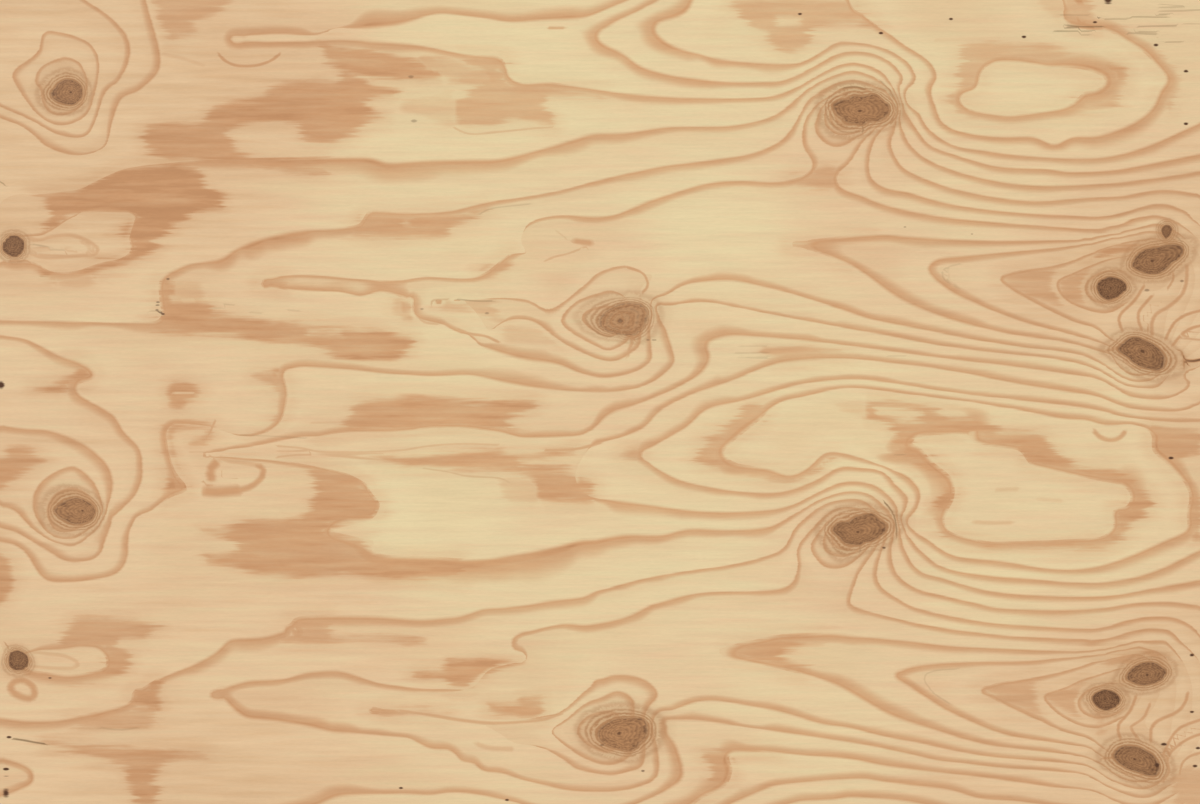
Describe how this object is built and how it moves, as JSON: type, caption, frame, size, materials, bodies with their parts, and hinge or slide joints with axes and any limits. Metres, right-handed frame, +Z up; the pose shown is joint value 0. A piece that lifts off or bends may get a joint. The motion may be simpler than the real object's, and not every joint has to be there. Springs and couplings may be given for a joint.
{
  "type": "plywood sheet",
  "caption": "Flat rectangular sheet of pine plywood: rotary-peeled veneers glued with crossed grain, with a knotty flat-grained face.",
  "frame": {"origin": "centre of the underside of the sheet", "axes": "+X along the sheet's length and the grain of its face, +Y across its width, +Z up from the underside to the face"},
  "size_m": [2.44, 1.22, 0.018],
  "materials": {
    "face": "sanded, unfinished",
    "back": "sanded, unfinished",
    "crossband": "sawn end grain",
    "long_ply": "sawn edge"
  },
  "bodies": {
    "root": {"back_veneer": "back", "crossband_lower": "crossband", "long_ply_lower": "long_ply", "core_crossband": "crossband", "long_ply_upper": "long_ply", "crossband_upper": "crossband", "face_veneer": "face"}
  },
  "joints": []
}
